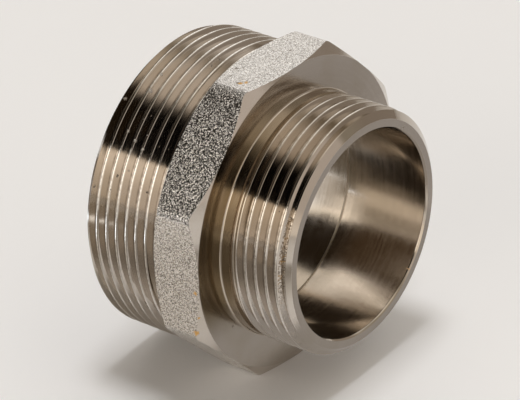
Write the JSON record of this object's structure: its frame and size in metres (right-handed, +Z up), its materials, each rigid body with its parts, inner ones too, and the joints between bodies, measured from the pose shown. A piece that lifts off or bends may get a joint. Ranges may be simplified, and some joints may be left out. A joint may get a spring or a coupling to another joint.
{
  "type": "barrel nipple",
  "caption": "Reducing barrel nipple: a wide and a narrow male pipe thread on one axis, an octagonal wrench body between them, bored right through with an inner step.",
  "frame": {"origin": "the middle of the length, under the axis, on the plane of the lowest wrench flat", "axes": "+X along the axis towards the narrow end, +Z up, square to the wrench flat that the piece lies on"},
  "size_m": [0.043, 0.0606, 0.0606],
  "materials": {
    "plated_brass": "nickel plate over forged brass, the wrench flats shot-blasted, the threads and the front face turned, worn bright on the thread crests"
  },
  "bodies": {
    "root": {"nipple_body": "plated_brass"}
  },
  "joints": []
}
